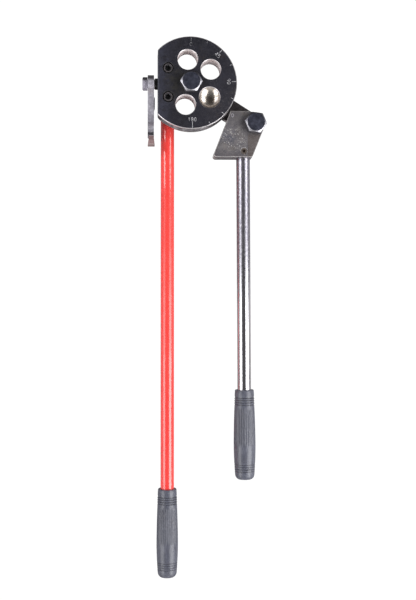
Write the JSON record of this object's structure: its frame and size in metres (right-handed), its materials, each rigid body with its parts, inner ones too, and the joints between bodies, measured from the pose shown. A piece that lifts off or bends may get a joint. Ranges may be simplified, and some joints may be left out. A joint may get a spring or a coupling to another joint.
{
  "type": "manual tube bender",
  "caption": "Two-handled lever tube bender: a grooved round forming die with a degree scale, a pivoting link and grooved bending shoe, and a swing-over tube latch.",
  "frame": {"origin": "bend centre: on the centre pivot's axis, in the middle plane of the die's tube groove", "axes": "+Z out of the die's engraved face, along both handle pivots; +Y from the handles towards the die; +X from the flat latch side across the die. The tool lies on its back."},
  "size_m": [0.1544, 0.6826, 0.0611],
  "materials": {
    "black_oxide_die": "black oxide, handled",
    "black_oxide": "black oxide",
    "black_oxide_bolt": "black oxide, blue-grey sheen",
    "worn_shoe_steel": "black oxide worn to grey",
    "latch_steel": "bare forged steel",
    "red_paint": "gloss enamel",
    "chrome_tube": "bright chrome plate",
    "zinc_steel": "zinc plated",
    "bronze": "sintered bronze",
    "nylon": "natural nylon",
    "grip_rubber": "moulded, slate grey"
  },
  "bodies": {
    "die_assembly": {"forming_die": "black_oxide_die", "die_handle_socket": "black_oxide", "die_cap_screws": "black_oxide", "die_handle_tube": "red_paint", "die_handle_grip": "grip_rubber", "centre_pivot_bolt": "black_oxide_bolt", "centre_thrust_washer": "bronze", "centre_pivot_washer": "zinc_steel", "centre_pivot_nut": "zinc_steel", "centre_nut_insert": "nylon", "latch_pivot_bolt": "black_oxide_bolt", "latch_spacer": "black_oxide", "latch_friction_washer": "zinc_steel"},
    "link": {"pivot_link": "black_oxide", "link_bush": "bronze", "shoe_pivot_bolt": "black_oxide_bolt", "shoe_thrust_washer": "bronze", "shoe_pivot_washer": "zinc_steel", "shoe_pivot_nut": "zinc_steel", "shoe_nut_insert": "nylon"},
    "shoe": {"bending_shoe": "worn_shoe_steel", "shoe_bush": "bronze", "shoe_handle_tube": "chrome_tube", "shoe_handle_set_screw": "black_oxide", "shoe_handle_grip": "grip_rubber"},
    "latch": {"tube_latch": "latch_steel"}
  },
  "joints": [
    {"name": "link_swing", "type": "hinge", "parent": "die_assembly", "child": "link", "pos_m": [0, 0, 0], "axis": [0, 0, 1], "range_deg": [-50, 122]},
    {"name": "shoe_swing", "type": "hinge", "parent": "link", "child": "shoe", "pos_m": [0.08028, -0.0498, 0], "axis": [0, 0, 1], "range_deg": [-22, 120]},
    {"name": "latch_swing", "type": "hinge", "parent": "die_assembly", "child": "latch", "pos_m": [-0.0498, 0, 0], "axis": [1, 0, 0], "range_deg": [-180, 0]}
  ]
}
